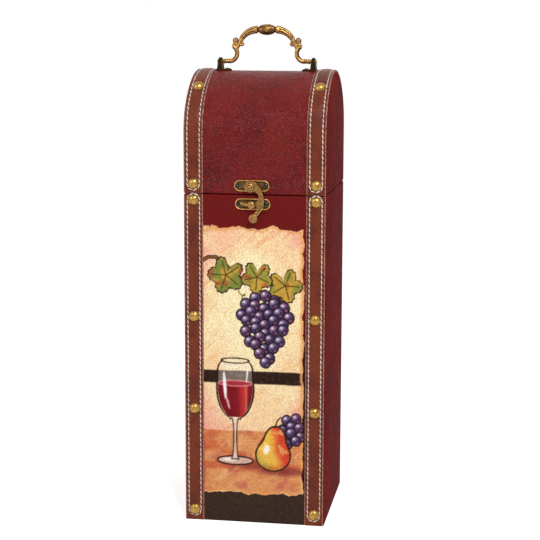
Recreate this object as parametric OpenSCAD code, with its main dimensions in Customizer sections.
// Upright box for one wine bottle: a board carcass with an arched, hinged lid, covered in
// leatherette, bound with stitched straps and domed nails, and closed by a swing latch.
// Millimetres, +Z up. The origin is the centre of the underside, and the front faces -Y.

/* [Box] */
// Width over the side coverings
box_w = 110; // [100:1:130]
// Depth over the front and back coverings
box_d = 113.6; // [104:0.1:130]
// Height of the parting line between body and lid
seam_z = 259.3; // [220:0.1:320]
// Gap left at the parting line
seam_gap = 0.6; // [0.4:0.1:1.2]
// Height of the lid's upright sides above the parting line
lid_side_h = 45.2; // [30:0.1:70]
// Rise of the lid's arch above its upright sides
arch_rise = 46.2; // [43:0.1:49]
// Radius of the arch's two haunches
haunch_r = 38; // [30:1:40]

/* [Boards and coverings] */
// Thickness of every carcass board
board_t = 8; // [7:0.5:9]
// Thickness of the board under the bottle
base_t = 6; // [4:0.5:9]
// Thickness of the leatherette
skin_t = 0.8; // [0.5:0.1:1.2]
// Thickness of the cloth lining
lining_t = 0.8; // [0.5:0.1:1.2]
// Depth to which the leatherette is turned inside the rim
rim_lip = 12; // [6:1:20]
// Thickness of the pad under the bottle
pad_t = 3; // [1:0.5:6]
// Thickness of the felt under the box
felt_t = 1; // [0.5:0.1:2]
// Thickness of the printed sheet on the front
sheet_t = 0.3; // [0.2:0.1:0.5]

/* [Straps and nails] */
// Width of a strap
strap_w = 14.5; // [12:0.5:18]
// Thickness of a strap
strap_t = 1.2; // [0.8:0.1:2]
// Distance from the side of the box to the outer edge of a strap
strap_inset = 0.6; // [0.3:0.1:3]
// Distance from a strap's edge to its row of stitches
stitch_inset = 2.5; // [1.5:0.1:4]
// Diameter of a nail's domed head
nail_d = 9; // [7:0.5:11]
// Height of a nail's domed head
nail_h = 2.7; // [2:0.1:3.2]
// Length of a nail's shank under the strap's surface
nail_l = 8.5; // [6:0.5:8.5]

/* [Swing latch] */
// Length of the latch plate and of the catch plate
plate_l = 27.4; // [26:0.2:34]
// Height of the latch plate and of the catch plate
plate_h = 8.8; // [8.6:0.1:11]
// Thickness of the plates
plate_t = 0.8; // [0.6:0.1:1]
// Thickness of the hook
hook_t = 1.2; // [1:0.1:1.4]
// Radius of the hook's eye
hook_eye_r = 4.3; // [3.6:0.1:4.8]
// Radius of the hook's thumb knob
hook_knob_r = 3.3; // [2.8:0.1:4]

/* [Hinges] */
// Length of a hinge along its pin
hinge_l = 25; // [20:1:30]
// Height of one hinge leaf from the pin
leaf_h = 9.5; // [8:0.5:12]
// Thickness of a hinge leaf
leaf_t = 0.9; // [0.7:0.1:1.1]
// Distance from the middle of the box to the middle of a hinge
hinge_x = 22; // [17:1:24]
// Radius of a hinge's knuckles
knuckle_r = 1.6; // [1.5:0.1:1.8]
// Radius of a hinge pin
hinge_pin_r = 0.8; // [0.6:0.1:0.9]

/* [Handle] */
// Distance between the middles of the two lugs, where the straps stand strap_span_ref apart
lug_span = 73.8; // [73:0.1:74.2]
// Height of the handle's pivots above the crown of the lid
pivot_h = 7.2; // [6.8:0.1:9]
// Height of the middle of the grip above the pivots
grip_h = 24.6; // [24:0.1:30]
// Radius of the thick end of each half of the grip
grip_r = 3.05; // [2.6:0.05:3.4]
// Radius of the rod that forms the scrolls
scroll_rod_r = 1.75; // [1.5:0.05:1.9]
// Radius of the handle's end pins
handle_pin_r = 1.4; // [1.1:0.1:1.6]

/* [Hidden] */
$fn = 48;
eps = 0.01;

// Clearances: a running fit on a pin, a fastener in its hole, and a free running gap
run_fit = 0.06;
hole_fit = 0.05;
run_gap = 0.3;
axial_gap = 0.1;

// Colours
board_c = [0.62, 0.5, 0.36];
maroon_c = [0.45, 0.13, 0.12];
strap_c = [0.48, 0.2, 0.13];
lining_c = [0.16, 0.09, 0.08];
print_c = [0.95, 0.82, 0.65];
brass_c = [0.72, 0.56, 0.28];
nail_c = [0.82, 0.68, 0.36];
steel_c = [0.3, 0.28, 0.26];

// Half sizes of the finished box, the carcass and its inside
half_w = box_w / 2;
half_d = box_d / 2;
car_w = half_w - skin_t;
car_d = half_d - skin_t;
in_w = car_w - board_t;
in_d = car_d - board_t;
rabbet = board_t / 2;

// Levels
body_top = seam_z - seam_gap / 2;
lid_bottom = seam_z + seam_gap / 2;
spring_z = seam_z + lid_side_h;
crown_z = spring_z + arch_rise;
floor_z = felt_t + base_t;

// Three-centred arch: two haunches of haunch_r joined by a crown of crown_r
crown_r = (half_d * half_d + arch_rise * arch_rise - 2 * half_d * haunch_r) / (2 * (arch_rise - haunch_r));
crown_c = arch_rise - crown_r;
haunch_c = half_d - haunch_r;
join_a = atan2(-crown_c, haunch_c);
haunch_steps = 16;
crown_steps = 28;
crown_step = (180 - 2 * join_a) / crown_steps;

// Straps and nails
strap_x = half_w - strap_inset - strap_w / 2;
groove_w = 1.3;
groove_depth = 0.35;
nail_first = 8;
nail_below_seam = 5.3;
nail_above_seam = 7.9;
nail_steps = [0, 0.328, 0.639, 1];
nail_shank_r = 0.7;
nail_wall = 0.5;
// How far round the crown the lid's upper nails sit from where it meets a haunch, in degrees
nail_past_join = 12.1;

// Swing latch: u is the distance out from the front covering
latch_x = -2;
latch_up = 6.9;
catch_x = -1.2;
catch_down = 7;
screw_pitch = 20.6;
plate_rim_w = 0.7;
plate_rim_h = 0.4;
pivot_dx = -0.9;
pivot_dz = -0.5;
hook_u = 2.2;
tail_u = 4.9;
boss_r = 3.3;
rivet_r = 1.3;
rivet_head_r = 2.7;
rivet_head_h = 1.4;
hook_back_r = 18.2;
hook_back_c = [-7.5, -11.1];
throat_r = 4.5;
throat_c = [2.2, -8];
nub = [4.3, -12.3];
nub_chin = nub + [0.1, -1.6];
nub_root = nub + [1.3, -4.5];
brow_a = 72.5;
brow = [3.9, 3.1];
bend_top = -16.6;
bend_low = -19.6;
bend_shift = 0.5;
knob_c = [2.8, -23.9];
knob_h = 1.9;
tail_top = [9.9, bend_top];
tail_right = knob_c + [2.8, 1.3];
tail_left = knob_c + [0.4, 2.8];
catch_c = [0.9, -14];
neck_r = 1.2;
catch_r = 2.8;
catch_h = 1.3;
horn_tip = [-7.2, 1.2];
horn_r = 0.95;
nib = [4.5, 3.3];
nib_r = 1.1;

// Small screws
screw_r = 0.9;
screw_head_r = 2.1;
screw_head_h = 0.9;
screw_l = 7;
slot_w = 0.5;
slot_l = 2.6;

// Hinges
knuckles = 5;
hinge_y = half_d + knuckle_r + 0.2;
leaf_gap = 0.3;
leaf_screw_pitch = 16;
leaf_screw_drop = 5.8;

// Handle
pivot_z = crown_z + pivot_h;
lug_w = 5.2;
// Distance between the inner edges of the straps that lug_span is given for
strap_span_ref = 79.8;
lug_x = lug_span / 2 + strap_x - strap_w / 2 - strap_span_ref / 2;
lug_top_r = 1.6;
lug_eye_r = 3.1;
lug_foot = 4;
flange_t = 1.2;
flange_reach = 5.6;
flange_w = 7;
stud_r = 1.5;
stud_l = 3;
lug_screw_l = 7;
shoulder_x = lug_x - lug_w / 2 - 0.2;
knop_a = 7.6;
knop_b = 4.2;
knop_end = 6.9;
knop_step = 0.69;
grip_x = 8;
grip_c = 11;
grip_end_a = 24;
grip_neck_r = 1.6;
// Share of the grip's length over which its thick end rounds off, and the radius left there
grip_round = 0.1;
grip_round_r = 0.78;
core_r = 1.8;
core_reach = 1;
flutes = 8;
flute_depth = 0.14;
flute_fade = 0.17;
flute_sides = 24;
grip_rings = 16;
scroll_r = 6.2;
// Distance from a scroll's middle to the lug
scroll_in = 7.1;
scroll_x = lug_x - scroll_in;
scroll_start = 122;
// Where the neck leaves the grip, as a share of the grip, and where it meets the scroll
neck_t = 0.96;
neck_foot_a = 150;
lead_r = 1.55;
lead_lap = 0.8;
collar_r = 2;
collar_w = 1.1;
eye_w = 3.2;
// Each scroll eye: distance in from the scroll's middle, height, radius
eyes = [[5.25, 16.1, 1.9], [9.85, 13.95, 2.1], [4.4, 11.6, 2.15]];
// The grip's curve ends short of the scroll's middle
grip_short = 6.6;
grip_span = scroll_x - grip_x - grip_short;
boss_flower_r = 1.5;

// ---------------------------------------------------------------- helpers

// A box from one corner to the opposite one
module span(low, high) {
    translate(low) cube(high - low);
}

// Draws in the side view: the sketch's x becomes Y, its y becomes Z, its height becomes X
module side_view() {
    rotate([90, 0, 90]) children();
}

// Draws in the front view on the front covering: x stays, y becomes Z, height points out
module front_view(x, z, u = 0) {
    translate([x, -half_d - u, z]) rotate([90, 0, 0]) children();
}

module mirror_x(side) {
    mirror([side < 0 ? 1 : 0, 0, 0]) children();
}

// Points along an arc, both ends included
function arc(centre, r, from, to, steps) =
    [for (i = [0 : steps]) let (a = from + (to - from) * i / steps) centre + r * [cos(a), sin(a)]];

// The lid's outline in (y, height above the springing line), moved in by inset and down to z_low
function lid_outline(inset, z_low) = concat(
    [[half_d - inset, z_low - spring_z]],
    arc([haunch_c, 0], haunch_r - inset, 0, join_a, haunch_steps),
    arc([0, crown_c], crown_r - inset, join_a + crown_step, 180 - join_a - crown_step, crown_steps - 2),
    arc([-haunch_c, 0], haunch_r - inset, 180 - join_a, 180, haunch_steps),
    [[inset - half_d, z_low - spring_z]]
);

// A solid slab in the lid's outline, from x_low to x_high
module lid_slab(x_low, x_high, inset, z_low) {
    translate([x_low, 0, spring_z]) side_view()
        linear_extrude(x_high - x_low) polygon(lid_outline(inset, z_low));
}

// A band that follows the lid's outline between two insets, from x_low to x_high
module lid_band(x_low, x_high, outer, inner, z_low) {
    translate([x_low, 0, spring_z]) side_view() linear_extrude(x_high - x_low) difference() {
        polygon(lid_outline(outer, z_low));
        polygon(lid_outline(inner, z_low - 1));
    }
}

// A stadium of a given length and height, centred
module stadium(l, h) {
    square([l - h, h], center = true);
    for (s = [-1, 1]) translate([s * (l - h) / 2, 0]) circle(d = h);
}

// ---------------------------------------------------------------- nails and screws

body_nail_top = seam_z - nail_below_seam;
body_nail_z = [for (f = nail_steps) nail_first + f * (body_nail_top - nail_first)];
lid_nail_z = seam_z + nail_above_seam;
dome_r = (nail_d * nail_d / 4 + nail_h * nail_h) / (2 * nail_h);

// A domed nail whose rim rests at z = 0, with its shank below
module nail() {
    difference() {
        intersection() {
            translate([0, 0, nail_h - dome_r]) sphere(dome_r);
            cylinder(h = nail_h, d = nail_d);
        }
        intersection() {
            translate([0, 0, nail_h - dome_r]) sphere(dome_r - nail_wall);
            translate([0, 0, -eps]) cylinder(h = nail_h, d = nail_d);
        }
    }
    translate([0, 0, -nail_l]) cylinder(h = nail_l + nail_h - nail_wall / 2, r = nail_shank_r);
}

module nail_hole() {
    translate([0, 0, -nail_l]) cylinder(h = nail_l + strap_t, r = nail_shank_r + hole_fit);
}

// Places for the nails of one face of the body, on the straps
module at_body_nails(side) {
    for (s = [-1, 1], z = body_nail_z)
        translate([s * strap_x, side * (half_d + strap_t), z]) rotate([-90 * side, 0, 0]) children();
}

// Places for the lid's nails, low on the rails and high on the crown
module at_lid_nails() {
    for (s = [-1, 1], side = [-1, 1]) {
        translate([s * strap_x, side * (half_d + strap_t), lid_nail_z])
            rotate([-90 * side, 0, 0]) children();
        translate([s * strap_x, 0, spring_z + crown_c])
            rotate([-side * (90 - join_a - nail_past_join), 0, 0])
                translate([0, 0, crown_r + strap_t]) children();
    }
}

// A round-headed screw with a cross slot, its head resting at z = 0
module screw(l = screw_l) {
    difference() {
        intersection() {
            cylinder(h = screw_head_h, r = screw_head_r);
            translate([0, 0, screw_head_h - 2 * screw_head_r]) sphere(2 * screw_head_r);
        }
        for (a = [45, 135])
            rotate(a) translate([0, 0, screw_head_h])
                cube([slot_l, slot_w, screw_head_h], center = true);
    }
    translate([0, 0, -l]) cylinder(h = l + eps, r = screw_r);
}

module screw_hole(l = screw_l) {
    translate([0, 0, -l]) cylinder(h = l + 2 * screw_head_h, r = screw_r + hole_fit);
}

latch_z = seam_z + latch_up;
catch_z = seam_z - catch_down;

module at_latch_screws() {
    for (s = [-1, 1]) front_view(latch_x + s * screw_pitch / 2, latch_z, plate_t) children();
}

module at_catch_screws() {
    for (s = [-1, 1]) front_view(catch_x + s * screw_pitch / 2, catch_z, sheet_t + plate_t) children();
}

// Places for the screws of both hinges' leaves: up is 1 for the lid and -1 for the body
module at_leaf_screws(up) {
    for (side = [-1, 1], s = [-1, 1])
        translate([side * hinge_x + s * leaf_screw_pitch / 2, half_d + leaf_t, seam_z + up * leaf_screw_drop])
            rotate([-90, 0, 0]) children();
}

// ---------------------------------------------------------------- carcass

// A side board, rebated at both edges for the front and back boards and below for the base
module side_board(side) {
    color(board_c) mirror_x(side) difference() {
        span([in_w, -car_d, 0], [car_w, car_d, body_top - skin_t]);
        for (s = [-1, 1])
            mirror([0, s < 0 ? 1 : 0, 0])
                span([in_w - eps, in_d, -eps], [car_w - rabbet, car_d + eps, body_top]);
        span([in_w - eps, -car_d - eps, -eps], [car_w - rabbet, car_d + eps, floor_z]);
    }
}

module left_board() { side_board(-1); }

module right_board() { side_board(1); }

// A board between the side boards' rebates, itself rebated below for the base
module cross_board(side) {
    mirror([0, side < 0 ? 1 : 0, 0]) difference() {
        span([-car_w + rabbet, in_d, 0], [car_w - rabbet, car_d, body_top - skin_t]);
        span([-car_w, in_d - eps, -eps], [car_w, car_d - rabbet, floor_z]);
    }
}

module front_board() {
    color(board_c) difference() {
        cross_board(-1);
        at_body_nails(-1) nail_hole();
        at_catch_screws() screw_hole();
    }
}

module back_board() {
    color(board_c) difference() {
        cross_board(1);
        at_body_nails(1) nail_hole();
        at_leaf_screws(-1) screw_hole();
    }
}

module base_board() {
    color(board_c)
        span([-car_w + rabbet, -car_d + rabbet, felt_t], [car_w - rabbet, car_d - rabbet, floor_z]);
}

module base_felt() {
    color(lining_c)
        span([-car_w + rabbet, -car_d + rabbet, 0], [car_w - rabbet, car_d - rabbet, felt_t]);
}

module base_pad() {
    color(lining_c)
        span([-in_w + lining_t, -in_d + lining_t, floor_z],
             [in_w - lining_t, in_d - lining_t, floor_z + pad_t]);
}

// ---------------------------------------------------------------- body coverings

module front_covering() {
    color(maroon_c) difference() {
        span([-car_w, -half_d, 0], [car_w, -car_d, body_top]);
        at_body_nails(-1) nail_hole();
        at_catch_screws() screw_hole();
    }
}

module back_covering() {
    color(maroon_c) difference() {
        span([-car_w, car_d, 0], [car_w, half_d, body_top]);
        at_body_nails(1) nail_hole();
        at_leaf_screws(-1) screw_hole();
    }
}

// A side covering, folded round both corners so that its edge shows from the front
module side_covering(side) {
    color(maroon_c) mirror_x(side) {
        span([car_w, -car_d, 0], [half_w, car_d, body_top]);
        for (s = [-1, 1])
            intersection() {
                translate([car_w, s * car_d, 0]) cylinder(h = body_top, r = skin_t);
                mirror([0, s < 0 ? 1 : 0, 0]) span([car_w, car_d, 0], [half_w, half_d, body_top]);
            }
    }
}

module left_covering() { side_covering(-1); }

module right_covering() { side_covering(1); }

// Leatherette turned over a rim of the carcass and a little way inside
module rim_binding(z_edge, up) {
    z_lip = z_edge - up * (skin_t + rim_lip);
    color(maroon_c) difference() {
        union() {
            span([-car_w, -car_d, min(z_edge, z_edge - up * skin_t)],
                 [car_w, car_d, max(z_edge, z_edge - up * skin_t)]);
            span([-in_w, -in_d, min(z_edge, z_lip)], [in_w, in_d, max(z_edge, z_lip)]);
        }
        span([-in_w + lining_t, -in_d + lining_t, min(z_edge, z_lip) - eps],
             [in_w - lining_t, in_d - lining_t, max(z_edge, z_lip) + eps]);
    }
}

module body_rim_binding() { rim_binding(body_top, 1); }

module body_lining() {
    z_high = body_top - skin_t - rim_lip;
    color(lining_c) difference() {
        span([-in_w, -in_d, floor_z], [in_w, in_d, z_high]);
        span([-in_w + lining_t, -in_d + lining_t, floor_z - eps],
             [in_w - lining_t, in_d - lining_t, z_high + eps]);
    }
}

// The printed sheet between the two front straps
module picture_sheet() {
    reach = strap_x - strap_w / 2 - axial_gap;
    color(print_c) difference() {
        span([-reach, -half_d - sheet_t, 0], [reach, -half_d, body_top]);
        at_catch_screws() screw_hole();
    }
}

// ---------------------------------------------------------------- straps

// A strap's section in (u, x), with a groove along each row of stitches
module strap_section() {
    difference() {
        translate([0, -strap_w / 2]) square([strap_t, strap_w]);
        for (s = [-1, 1])
            translate([strap_t, s * (strap_w / 2 - stitch_inset)])
                square([2 * groove_depth, groove_w], center = true);
    }
}

module body_strap(side_x, side_y) {
    color(strap_c) difference() {
        translate([side_x * strap_x, side_y * half_d, 0])
            linear_extrude(body_top) rotate(90 * side_y) strap_section();
        at_body_nails(side_y) nail_hole();
    }
}

module front_left_strap() { body_strap(-1, -1); }

module front_right_strap() { body_strap(1, -1); }

module back_left_strap() { body_strap(-1, 1); }

module back_right_strap() { body_strap(1, 1); }

module lid_strap(side) {
    x = side * strap_x;
    color(strap_c) difference() {
        lid_band(x - strap_w / 2, x + strap_w / 2, -strap_t, 0, lid_bottom);
        for (s = [-1, 1]) {
            row = x + s * (strap_w / 2 - stitch_inset);
            lid_band(row - groove_w / 2, row + groove_w / 2,
                     -2 * strap_t, groove_depth - strap_t, lid_bottom - 1);
        }
        at_lid_nails() nail_hole();
    }
}

module left_lid_strap() { lid_strap(-1); }

module right_lid_strap() { lid_strap(1); }

module front_body_nails() { color(nail_c) at_body_nails(-1) nail(); }

module back_body_nails() { color(nail_c) at_body_nails(1) nail(); }

module lid_nails() { color(nail_c) at_lid_nails() nail(); }

// ---------------------------------------------------------------- lid

// An end board in the lid's outline, rebated for the rails and the bent board
module lid_end(side) {
    color(board_c) mirror_x(side) difference() {
        lid_slab(in_w, car_w, skin_t, lid_bottom + skin_t);
        lid_band(in_w - rabbet, car_w - rabbet, -board_t, skin_t + board_t, lid_bottom - 1);
    }
}

module lid_left_end() { lid_end(-1); }

module lid_right_end() { lid_end(1); }

module lid_rail(side) {
    mirror([0, side < 0 ? 1 : 0, 0])
        span([-car_w + rabbet, in_d, lid_bottom + skin_t], [car_w - rabbet, car_d, spring_z]);
}

module lid_front_rail() {
    color(board_c) difference() {
        lid_rail(-1);
        at_lid_nails() nail_hole();
        at_latch_screws() screw_hole();
    }
}

module lid_back_rail() {
    color(board_c) difference() {
        lid_rail(1);
        at_lid_nails() nail_hole();
        at_leaf_screws(1) screw_hole();
    }
}

// The bent board over the arch
module lid_arch_board() {
    color(board_c) difference() {
        lid_band(rabbet - car_w, car_w - rabbet, skin_t, skin_t + board_t, spring_z);
        at_lid_nails() nail_hole();
        at_lug_studs() stud_hole();
        at_lug_screws() screw_hole(lug_screw_l);
    }
}

module lid_covering() {
    color(maroon_c) difference() {
        lid_band(-car_w, car_w, 0, skin_t, lid_bottom);
        at_lid_nails() nail_hole();
        at_latch_screws() screw_hole();
        at_leaf_screws(1) screw_hole();
        at_lug_studs() stud_hole();
        at_lug_screws() screw_hole(lug_screw_l);
    }
}

module lid_side_covering(side) {
    color(maroon_c) mirror_x(side) lid_slab(car_w, half_w, 0, lid_bottom);
}

module lid_left_covering() { lid_side_covering(-1); }

module lid_right_covering() { lid_side_covering(1); }

module lid_rim_binding() { rim_binding(lid_bottom, -1); }

module lid_lining() {
    inset = skin_t + board_t;
    z_low = lid_bottom + skin_t + rim_lip;
    color(lining_c) difference() {
        lid_slab(-in_w, in_w, inset, z_low);
        lid_slab(-in_w + lining_t, in_w - lining_t, inset + lining_t, z_low - 1);
    }
}

// ---------------------------------------------------------------- swing latch

pivot_x = latch_x + pivot_dx;
latch_pivot_z = latch_z + pivot_dz;

// A stamped plate with a raised rim and two screw holes
module stamped_plate() {
    difference() {
        linear_extrude(plate_t + plate_rim_h) stadium(plate_l, plate_h);
        translate([0, 0, plate_t])
            linear_extrude(plate_t + plate_rim_h)
                stadium(plate_l - 2 * plate_rim_w, plate_h - 2 * plate_rim_w);
        for (s = [-1, 1])
            translate([s * screw_pitch / 2, 0, -eps]) cylinder(h = 2 * plate_t, r = screw_r + hole_fit);
    }
}

module latch_plate() {
    color(brass_c) difference() {
        union() {
            front_view(latch_x, latch_z) stamped_plate();
            front_view(pivot_x, latch_pivot_z) cylinder(h = hook_u - axial_gap, r = boss_r);
            front_view(pivot_x + nib[0], latch_pivot_z + nib[1]) cylinder(h = hook_u - run_gap, r = nib_r);
        }
        front_view(pivot_x, latch_pivot_z, -eps) cylinder(h = 2 * hook_u, r = rivet_r + hole_fit);
    }
}

// The rivet that carries the hook
module latch_rivet() {
    head_u = hook_u + hook_t + axial_gap;
    color(brass_c) front_view(pivot_x, latch_pivot_z) {
        cylinder(h = head_u + eps, r = rivet_r);
        intersection() {
            translate([0, 0, head_u]) cylinder(h = rivet_head_h, r = rivet_head_r);
            translate([0, 0, head_u + rivet_head_h - 2 * rivet_head_r]) sphere(2 * rivet_head_r);
        }
    }
}

// The hook's outline from its eye to the end of its tail, about its pivot
module hook_outline() {
    circle(hook_eye_r);
    difference() {
        intersection() {
            translate(hook_back_c) circle(hook_back_r);
            polygon([
                [0, 0], hook_eye_r * [cos(brow_a), sin(brow_a)], brow, [hook_back_r, brow[1]],
                [hook_back_r, bend_top], nub_root, nub_chin, nub
            ]);
        }
        translate(throat_c) circle(throat_r);
    }
    polygon([nub_root, tail_top, tail_right, knob_c, tail_left]);
}

// The hook's bends from the side, in (height above the pivot, u)
module hook_bends() {
    polygon([
        [2 * hook_eye_r, hook_u], [bend_top, hook_u], [bend_low, tail_u], [2 * knob_c[1], tail_u],
        [2 * knob_c[1], tail_u + hook_t], [bend_low + bend_shift, tail_u + hook_t],
        [bend_top + bend_shift, hook_u + hook_t], [2 * hook_eye_r, hook_u + hook_t]
    ]);
}

module latch_hook() {
    color(brass_c) front_view(pivot_x, latch_pivot_z) difference() {
        union() {
            intersection() {
                linear_extrude(2 * tail_u) hook_outline();
                translate([-hook_back_r, 0, 0]) side_view() linear_extrude(2 * hook_back_r) hook_bends();
            }
            translate([knob_c[0], knob_c[1], tail_u])
                intersection() {
                    cylinder(h = knob_h, r = hook_knob_r);
                    translate([0, 0, knob_h - 3 * hook_knob_r]) sphere(3 * hook_knob_r);
                }
        }
        translate([0, 0, -eps]) cylinder(h = 2 * tail_u, r = rivet_r + run_fit);
    }
}

module catch_plate() {
    color(brass_c) difference() {
        front_view(catch_x, catch_z, sheet_t) stamped_plate();
        front_view(pivot_x + catch_c[0], latch_pivot_z + catch_c[1], -eps)
            cylinder(h = 2 * hook_u, r = neck_r + hole_fit);
    }
}

// The catch: a neck in the plate, a domed head, and a horn that guides the hook
module catch_horn() {
    head_u = hook_u + hook_t + axial_gap;
    color(brass_c) front_view(pivot_x + catch_c[0], latch_pivot_z + catch_c[1], sheet_t) {
        cylinder(h = head_u - sheet_t + eps, r = neck_r);
        translate([0, 0, head_u - sheet_t]) {
            intersection() {
                cylinder(h = catch_h, r = catch_r);
                translate([0, 0, catch_h - 2 * catch_r]) sphere(2 * catch_r);
            }
            linear_extrude(catch_h - run_gap)
                rotate(atan2(horn_tip[1], horn_tip[0]))
                    translate([norm(horn_tip) / 2, 0]) stadium(norm(horn_tip) + 2 * horn_r, 2 * horn_r);
        }
    }
}

module latch_screws() { color(steel_c) at_latch_screws() screw(); }

module catch_screws() { color(steel_c) at_catch_screws() screw(); }

// ---------------------------------------------------------------- hinges

knuckle_l = hinge_l / knuckles;

// A hinge leaf with its own knuckles: up is 1 for the lid's leaf and -1 for the body's
module hinge_leaf(side, up) {
    own = up > 0 ? 1 : 0;
    notch = knuckle_r + leaf_gap;
    x0 = side * hinge_x - hinge_l / 2;
    z0 = seam_z + up * seam_gap / 2;
    z1 = seam_z + up * leaf_h;
    color(brass_c) difference() {
        union() {
            difference() {
                span([x0, half_d, min(z0, z1)], [x0 + hinge_l, half_d + leaf_t, max(z0, z1)]);
                for (i = [1 - own : 2 : knuckles - 1])
                    translate([x0 + i * knuckle_l - axial_gap, half_d - eps, seam_z - notch])
                        cube([knuckle_l + 2 * axial_gap, 2 * leaf_t, 2 * notch]);
            }
            for (i = [own : 2 : knuckles - 1])
                translate([x0 + i * knuckle_l + axial_gap, hinge_y, seam_z])
                    rotate([0, 90, 0]) cylinder(h = knuckle_l - 2 * axial_gap, r = knuckle_r);
        }
        translate([side * hinge_x - hinge_l, hinge_y, seam_z])
            rotate([0, 90, 0]) cylinder(h = 2 * hinge_l, r = hinge_pin_r + (up > 0 ? run_fit : hole_fit));
        for (s = [-1, 1])
            translate([side * hinge_x + s * leaf_screw_pitch / 2, half_d + leaf_t,
                       seam_z + up * leaf_screw_drop])
                rotate([-90, 0, 0]) screw_hole();
    }
}

module left_hinge_body_leaf() { hinge_leaf(-1, -1); }

module right_hinge_body_leaf() { hinge_leaf(1, -1); }

module left_hinge_lid_leaf() { hinge_leaf(-1, 1); }

module right_hinge_lid_leaf() { hinge_leaf(1, 1); }

module hinge_pin(side) {
    color(brass_c) translate([side * hinge_x - hinge_l / 2, hinge_y, seam_z])
        rotate([0, 90, 0]) cylinder(h = hinge_l, r = hinge_pin_r);
}

module left_hinge_pin() { hinge_pin(-1); }

module right_hinge_pin() { hinge_pin(1); }

module hinge_body_screws() { color(brass_c) at_leaf_screws(-1) screw(); }

module hinge_lid_screws() { color(brass_c) at_leaf_screws(1) screw(); }

// ---------------------------------------------------------------- handle

module at_lug_studs() {
    for (s = [-1, 1]) translate([s * lug_x, 0, crown_z]) children();
}

module stud_hole() {
    translate([0, 0, -stud_l]) cylinder(h = 2 * stud_l, r = stud_r + hole_fit);
}

module at_lug_screws() {
    for (s = [-1, 1]) translate([s * (lug_x - flange_reach), 0, crown_z + flange_t]) children();
}

// The lug from the front: sides that run tangent into its round top, whose centre is at h
module lug_front(h) {
    corner = [lug_w / 2, -1];
    reach = [corner[0], h - corner[1]];
    a = acos(lug_top_r / norm(reach)) - atan2(reach[1], reach[0]);
    side = [lug_top_r * cos(a), h + lug_top_r * sin(a)];
    translate([0, h]) circle(lug_top_r);
    polygon([[-corner[0], corner[1]], corner, side, [0, h], [-side[0], side[1]]]);
}

// A cast lug: an upright eye on a foot that follows the crown, with a stud beneath
module handle_lug(side) {
    eye_z = pivot_z - crown_z;
    top = eye_z + lug_eye_r;
    color(brass_c) mirror_x(side) difference() {
        union() {
            difference() {
                translate([0, 0, crown_z]) {
                    intersection() {
                        translate([lug_x - lug_w, 0, 0]) side_view() linear_extrude(2 * lug_w) {
                            translate([0, eye_z]) circle(lug_eye_r);
                            polygon([
                                [-lug_foot, -1], [lug_foot, -1], [lug_eye_r, eye_z], [-lug_eye_r, eye_z]
                            ]);
                        }
                        translate([lug_x, lug_foot, 0]) rotate([90, 0, 0]) linear_extrude(2 * lug_foot)
                            lug_front(top - lug_top_r);
                    }
                    translate([lug_x - flange_reach / 2, 0, -1])
                        linear_extrude(flange_t + 1) {
                            translate([lug_w / 4, 0])
                                square([flange_reach + lug_w / 2, flange_w], center = true);
                            translate([-flange_reach / 2, 0]) circle(d = flange_w);
                        }
                }
                lid_slab(0, half_w, 0, spring_z - 1);
            }
            translate([lug_x, 0, crown_z - stud_l]) cylinder(h = 2 * stud_l, r = stud_r);
        }
        translate([lug_x - lug_w, 0, pivot_z]) rotate([0, 90, 0])
            cylinder(h = 2 * lug_w, r = handle_pin_r + run_fit);
        translate([lug_x - flange_reach, 0, crown_z + flange_t]) screw_hole(lug_screw_l);
    }
}

module left_handle_lug() { handle_lug(-1); }

module right_handle_lug() { handle_lug(1); }

module handle_lug_screws() { color(steel_c) at_lug_screws() screw(lug_screw_l); }

// Centre, heading and radius of the grip at t, from 0 at the knop to 1 at the neck
function grip_angle(t) = 90 - t * (90 - grip_end_a);
function grip_rise() = grip_h - grip_c;
function grip_at(t) = [grip_x + grip_span * cos(grip_angle(t)), grip_c + grip_rise() * sin(grip_angle(t))];
function grip_heading(t) = atan2(-grip_rise() * cos(grip_angle(t)), grip_span * sin(grip_angle(t)));
function grip_radius(t) =
    (grip_r + (grip_neck_r - grip_r) * t)
    * (t < grip_round ? grip_round_r + (1 - grip_round_r) * sin(90 * t / grip_round) : 1);
function flute(a, t) =
    1 - flute_depth * (1 - abs(cos(a * flutes / 2))) * min(1, t / flute_fade, (1 - t) / flute_fade);

// One half of the grip, lofted along its curve with shallow flutes
module grip_half() {
    points = [
        for (i = [0 : grip_rings - 1])
            let (t = i / (grip_rings - 1), c = grip_at(t), h = grip_heading(t))
                for (j = [0 : flute_sides - 1])
                    let (a = 360 * j / flute_sides, r = grip_radius(t) * flute(a, t))
                        [c[0] - r * cos(a) * sin(h), r * sin(a), c[1] + r * cos(a) * cos(h)]
    ];
    last = (grip_rings - 1) * flute_sides;
    sides = [
        for (i = [0 : grip_rings - 2], j = [0 : flute_sides - 1])
            let (k = (j + 1) % flute_sides, a = i * flute_sides, b = a + flute_sides)
                each [[a + j, a + k, b + k], [a + j, b + k, b + j]]
    ];
    start_cap = [for (j = [flute_sides - 1 : -1 : 0]) j];
    end_cap = [for (j = [0 : flute_sides - 1]) last + j];
    polyhedron(points, concat([start_cap], sides, [end_cap]), convexity = 6);
}

// The oval knop in the middle of the grip, with a flower boss on each face
module knop() {
    translate([0, 0, grip_h]) {
        rotate([0, 90, 0]) rotate_extrude()
            polygon(concat(
                [[0, -knop_end]],
                [for (x = [-knop_end : knop_step : knop_end + eps])
                    [knop_b * sqrt(1 - pow(x / knop_a, 2)), x]],
                [[0, knop_end]]
            ));
        for (s = [-1, 1])
            translate([0, s * (knop_b - boss_flower_r / 2), 0]) sphere(boss_flower_r);
        rotate([0, 90, 0]) cylinder(h = 2 * (grip_x + core_reach), r = core_r, center = true);
    }
}

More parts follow.
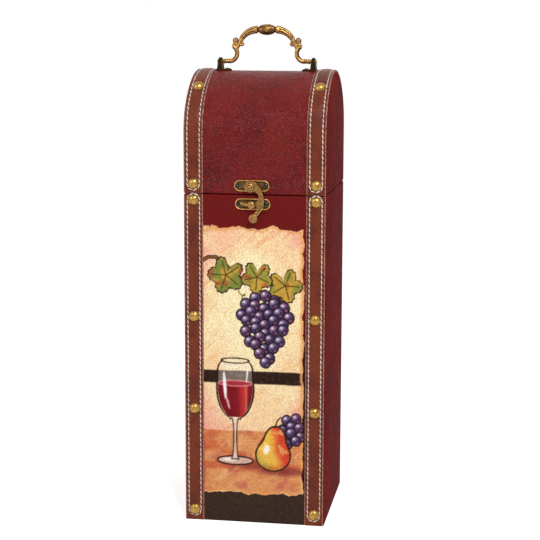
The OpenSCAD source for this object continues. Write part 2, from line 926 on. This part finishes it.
// The scrolls, the lead to the pivot and the end pin of one side
module scroll_side() {
    rotate([90, 0, 0]) translate([scroll_x, scroll_r, 0])
        rotate(scroll_start) rotate_extrude(angle = 270 - scroll_start)
            translate([scroll_r, 0]) circle(scroll_rod_r);
    translate([scroll_x - lead_lap, 0, 0]) rotate([0, 90, 0])
        cylinder(h = shoulder_x - scroll_x + lead_lap, r = lead_r);
    translate([shoulder_x - collar_w, 0, 0]) rotate([0, 90, 0]) cylinder(h = collar_w, r = collar_r);
    translate([shoulder_x - collar_w, 0, 0]) rotate([0, 90, 0])
        cylinder(h = lug_x + lug_w / 2 - shoulder_x + collar_w, r = handle_pin_r);
    neck = grip_at(neck_t);
    foot = [scroll_x, scroll_r] + scroll_r * [cos(neck_foot_a), sin(neck_foot_a)];
    lean = atan2(foot[0] - neck[0], foot[1] - neck[1]);
    translate([neck[0], 0, neck[1]]) rotate([0, lean, 0]) cylinder(h = norm(foot - neck), r = grip_neck_r);
    for (e = eyes)
        translate([scroll_x - e[0], 0, e[1]]) intersection() {
            sphere(e[2]);
            cube([3 * e[2], eye_w, 3 * e[2]], center = true);
        }
}

module handle() {
    color(brass_c) translate([0, 0, pivot_z]) {
        knop();
        for (s = [-1, 1]) mirror_x(s) {
            grip_half();
            scroll_side();
        }
    }
}

// ---------------------------------------------------------------- nodes

base_board();
front_board();
back_board();
left_board();
right_board();
front_covering();
back_covering();
left_covering();
right_covering();
body_rim_binding();
body_lining();
base_pad();
base_felt();
picture_sheet();
front_left_strap();
front_right_strap();
back_left_strap();
back_right_strap();
front_body_nails();
back_body_nails();
catch_plate();
catch_horn();
catch_screws();
left_hinge_body_leaf();
right_hinge_body_leaf();
left_hinge_pin();
right_hinge_pin();
hinge_body_screws();
lid_front_rail();
lid_back_rail();
lid_left_end();
lid_right_end();
lid_arch_board();
lid_covering();
lid_left_covering();
lid_right_covering();
lid_rim_binding();
lid_lining();
left_lid_strap();
right_lid_strap();
lid_nails();
latch_plate();
latch_rivet();
latch_screws();
latch_hook();
left_hinge_lid_leaf();
right_hinge_lid_leaf();
hinge_lid_screws();
left_handle_lug();
right_handle_lug();
handle_lug_screws();
handle();
